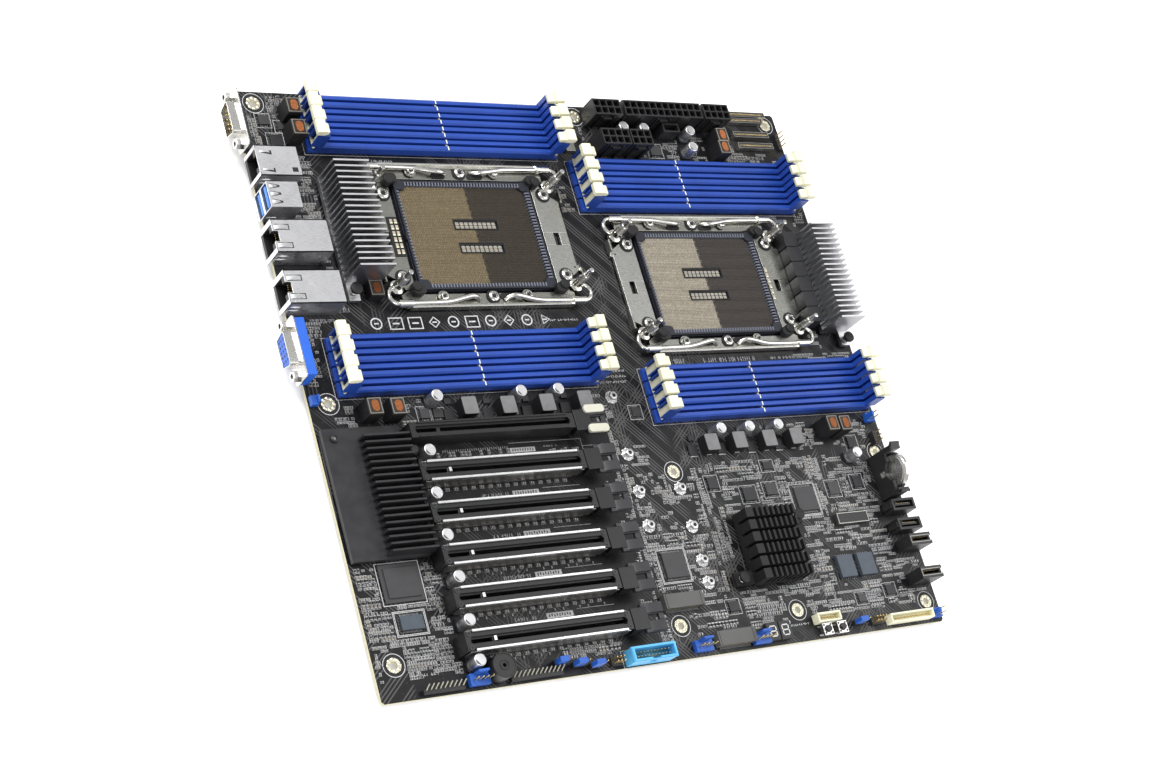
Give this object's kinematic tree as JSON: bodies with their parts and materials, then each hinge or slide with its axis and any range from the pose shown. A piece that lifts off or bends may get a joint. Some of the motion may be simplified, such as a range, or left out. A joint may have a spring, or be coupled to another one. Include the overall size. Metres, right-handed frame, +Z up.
{
  "type": "server motherboard",
  "caption": "Large dual-processor circuit board with memory banks, expansion slots, heat sinks, ports and power connectors, for mounting flat in a chassis.",
  "frame": {"origin": "middle of the object's base: the centre of the bounding box in X and Y, at the level of the backplates' and solder tails' undersides", "axes": "+X from the rear (port) edge to the front edge, +Y from the expansion-slot edge to the power-connector edge, +Z up out of the component side"},
  "size_m": [0.3392, 0.3048, 0.0267],
  "materials": {
    "board_laminate": "solder-masked glass laminate, semi-gloss",
    "memory_blue": "moulded, satin",
    "latch_cream": "moulded, satin",
    "connector_black": "moulded, fine texture",
    "latch_grey": "moulded, satin",
    "header_blue": "moulded, satin",
    "port_blue": "moulded, satin",
    "socket_contacts": "field of plated contacts in a moulded body",
    "bolster_steel": "stamped, nickel plated",
    "backplate_steel": "stamped, zinc plated",
    "port_nickel": "thin shell, bright plated",
    "cell_nickel": "drawn can, bright",
    "silver_aluminium": "extruded, clear anodised",
    "black_aluminium": "extruded, black anodised",
    "button_steel": "stamped cover"
  },
  "bodies": {
    "root": {"board": "board_laminate", "cpu_socket_1": "socket_contacts", "bolster_plate_1": "bolster_steel", "backplate_1": "backplate_steel", "cpu_socket_2": "socket_contacts", "bolster_plate_2": "bolster_steel", "backplate_2": "backplate_steel", "dimm_bank_1": "memory_blue", "dimm_bank_2": "memory_blue", "dimm_bank_3": "memory_blue", "dimm_bank_4": "memory_blue", "pcie_slot_1": "connector_black", "pcie_slot_2": "connector_black", "pcie_slot_3": "connector_black", "pcie_slot_4": "connector_black", "pcie_slot_5": "connector_black", "pcie_slot_6": "connector_black", "regulator_heatsink_rear": "silver_aluminium", "regulator_heatsink_front": "silver_aluminium", "low_heatsink": "black_aluminium", "chipset_heatsink": "black_aluminium", "serial_port": "port_nickel", "management_lan_port": "port_nickel", "usb_port_stack": "port_nickel", "lan_port_1": "port_nickel", "lan_port_2": "port_nickel", "video_port": "port_blue", "board_power_24pin": "connector_black", "cpu_power_8pin_1": "connector_black", "cpu_power_8pin_2": "connector_black", "aux_power_8pin": "connector_black", "aux_power_6pin": "connector_black", "battery_holder": "connector_black", "sata_port_1": "connector_black", "sata_port_2": "connector_black", "slim_port_1": "connector_black", "slim_port_2": "connector_black", "buzzer": "connector_black", "usb_header": "header_blue", "card_socket_1": "connector_black", "card_socket_2": "connector_black", "power_button_base": "button_steel", "reset_button_base": "button_steel"},
    "dimm_latches_1_rear": {"dimm_latches_1_rear": "latch_cream"},
    "dimm_latches_1_front": {"dimm_latches_1_front": "latch_cream"},
    "dimm_latches_2_rear": {"dimm_latches_2_rear": "latch_cream"},
    "dimm_latches_2_front": {"dimm_latches_2_front": "latch_cream"},
    "dimm_latches_3_rear": {"dimm_latches_3_rear": "latch_cream"},
    "dimm_latches_3_front": {"dimm_latches_3_front": "latch_cream"},
    "dimm_latches_4_rear": {"dimm_latches_4_rear": "latch_cream"},
    "dimm_latches_4_front": {"dimm_latches_4_front": "latch_cream"},
    "pcie_latch_1": {"pcie_latch_1": "latch_grey"},
    "pcie_latch_2": {"pcie_latch_2": "latch_grey"},
    "pcie_latch_3": {"pcie_latch_3": "latch_grey"},
    "pcie_latch_4": {"pcie_latch_4": "latch_grey"},
    "pcie_latch_5": {"pcie_latch_5": "latch_grey"},
    "pcie_latch_6": {"pcie_latch_6": "latch_grey"},
    "coin_cell": {"coin_cell": "cell_nickel"},
    "power_button": {"power_button": "connector_black"},
    "reset_button": {"reset_button": "connector_black"}
  },
  "joints": [
    {"name": "dimm_latches_1_rear_swing", "type": "hinge", "parent": "root", "child": "dimm_latches_1_rear", "pos_m": [-0.1272, 0.13408, 0.009], "axis": [0, -1, 0], "range_deg": [0, 32]},
    {"name": "dimm_latches_1_front_swing", "type": "hinge", "parent": "root", "child": "dimm_latches_1_front", "pos_m": [0.011, 0.13408, 0.009], "axis": [0, 1, 0], "range_deg": [0, 32]},
    {"name": "dimm_latches_2_rear_swing", "type": "hinge", "parent": "root", "child": "dimm_latches_2_rear", "pos_m": [0.0206, 0.10318, 0.009], "axis": [0, -1, 0], "range_deg": [0, 32]},
    {"name": "dimm_latches_2_front_swing", "type": "hinge", "parent": "root", "child": "dimm_latches_2_front", "pos_m": [0.1588, 0.10318, 0.009], "axis": [0, 1, 0], "range_deg": [0, 32]},
    {"name": "dimm_latches_3_rear_swing", "type": "hinge", "parent": "root", "child": "dimm_latches_3_rear", "pos_m": [-0.1432, 0.00588, 0.009], "axis": [0, -1, 0], "range_deg": [0, 32]},
    {"name": "dimm_latches_3_front_swing", "type": "hinge", "parent": "root", "child": "dimm_latches_3_front", "pos_m": [-0.005, 0.00588, 0.009], "axis": [0, 1, 0], "range_deg": [0, 32]},
    {"name": "dimm_latches_4_rear_swing", "type": "hinge", "parent": "root", "child": "dimm_latches_4_rear", "pos_m": [0.0267, -0.01652, 0.009], "axis": [0, -1, 0], "range_deg": [0, 32]},
    {"name": "dimm_latches_4_front_swing", "type": "hinge", "parent": "root", "child": "dimm_latches_4_front", "pos_m": [0.1649, -0.01652, 0.009], "axis": [0, 1, 0], "range_deg": [0, 32]},
    {"name": "pcie_latch_1_press", "type": "hinge", "parent": "root", "child": "pcie_latch_1", "pos_m": [-0.0261, -0.0308, 0.0085], "axis": [0, 1, 0], "range_deg": [0, 20]},
    {"name": "pcie_latch_2_press", "type": "hinge", "parent": "root", "child": "pcie_latch_2", "pos_m": [-0.0261, -0.05112, 0.0085], "axis": [0, 1, 0], "range_deg": [0, 20]},
    {"name": "pcie_latch_3_press", "type": "hinge", "parent": "root", "child": "pcie_latch_3", "pos_m": [-0.0261, -0.07144, 0.0085], "axis": [0, 1, 0], "range_deg": [0, 20]},
    {"name": "pcie_latch_4_press", "type": "hinge", "parent": "root", "child": "pcie_latch_4", "pos_m": [-0.0261, -0.09176, 0.0085], "axis": [0, 1, 0], "range_deg": [0, 20]},
    {"name": "pcie_latch_5_press", "type": "hinge", "parent": "root", "child": "pcie_latch_5", "pos_m": [-0.0261, -0.11208, 0.0085], "axis": [0, 1, 0], "range_deg": [0, 20]},
    {"name": "pcie_latch_6_press", "type": "hinge", "parent": "root", "child": "pcie_latch_6", "pos_m": [-0.0261, -0.1324, 0.0085], "axis": [0, 1, 0], "range_deg": [0, 20]},
    {"name": "coin_cell_lift", "type": "slide", "parent": "root", "child": "coin_cell", "axis": [0, 0, 1], "range_m": [0, 0.024]},
    {"name": "power_button_press", "type": "slide", "parent": "root", "child": "power_button", "axis": [0, 0, -1], "range_m": [0, 0.00025], "stiffness_N_per_m": 80, "springref_m": -0.0006},
    {"name": "reset_button_press", "type": "slide", "parent": "root", "child": "reset_button", "axis": [0, 0, -1], "range_m": [0, 0.00025], "stiffness_N_per_m": 80, "springref_m": -0.0006}
  ]
}
